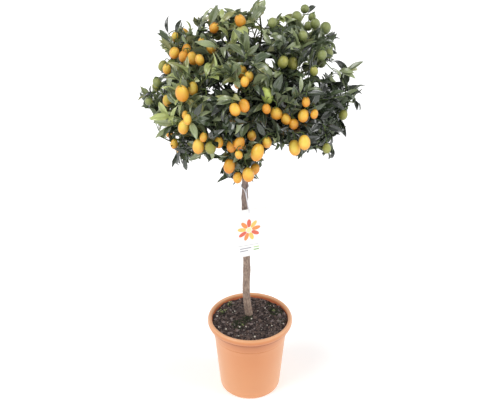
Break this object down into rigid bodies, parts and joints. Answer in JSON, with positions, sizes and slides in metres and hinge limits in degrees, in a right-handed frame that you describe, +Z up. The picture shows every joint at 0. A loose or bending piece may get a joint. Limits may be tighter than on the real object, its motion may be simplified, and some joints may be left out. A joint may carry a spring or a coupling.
{
  "type": "potted kumquat tree",
  "caption": "Small citrus tree grown as a standard: bare stem, round evergreen head with oval orange fruit, hanging plant label, soil-filled round pot.",
  "frame": {"origin": "centre of the pot's flat underside, on the surface the pot stands on", "axes": "+Z up along the tree; +Y from the side with the label towards the back; +X to the right seen from the label's side"},
  "size_m": [0.4992, 0.4979, 1.0199],
  "materials": {
    "pot": "terracotta-coloured moulded plastic, satin",
    "soil": "dark peat potting soil with perlite",
    "bark": "grey-brown fine bark",
    "foliage": "glossy evergreen leaves with orange fruit",
    "label_card": "white printed plastic card",
    "label_strap": "thin white plastic strap"
  },
  "bodies": {
    "root": {"pot": "pot", "soil": "soil", "trunk": "bark", "label_card": "label_card", "label_strap": "label_strap", "bough_top": "bark", "bough_left": "bark", "bough_right": "bark", "bough_front": "bark", "bough_back": "bark", "bough_bottom": "bark", "bough_top_left": "bark", "bough_top_right": "bark", "bough_top_back": "bark", "bough_upper_left": "bark", "bough_lower_left": "bark", "bough_low_side_left": "bark", "bough_upper_right": "bark", "bough_lower_right": "bark", "bough_low_side_right": "bark", "bough_front_left": "bark", "bough_front_right": "bark", "bough_low_front_right": "bark", "bough_low_front_left": "bark", "bough_back_left": "bark", "bough_back_right": "bark", "bough_low_back_left": "bark", "bough_low_back_right": "bark", "foliage_top": "foliage", "foliage_left": "foliage", "foliage_right": "foliage", "foliage_front": "foliage", "foliage_back": "foliage", "foliage_bottom": "foliage", "foliage_top_left": "foliage", "foliage_top_right": "foliage", "foliage_top_back": "foliage", "foliage_upper_left": "foliage", "foliage_lower_left": "foliage", "foliage_low_side_left": "foliage", "foliage_upper_right": "foliage", "foliage_lower_right": "foliage", "foliage_low_side_right": "foliage", "foliage_front_left": "foliage", "foliage_front_right": "foliage", "foliage_low_front_right": "foliage", "foliage_low_front_left": "foliage", "foliage_back_left": "foliage", "foliage_back_right": "foliage", "foliage_low_back_left": "foliage", "foliage_low_back_right": "foliage"}
  },
  "joints": []
}
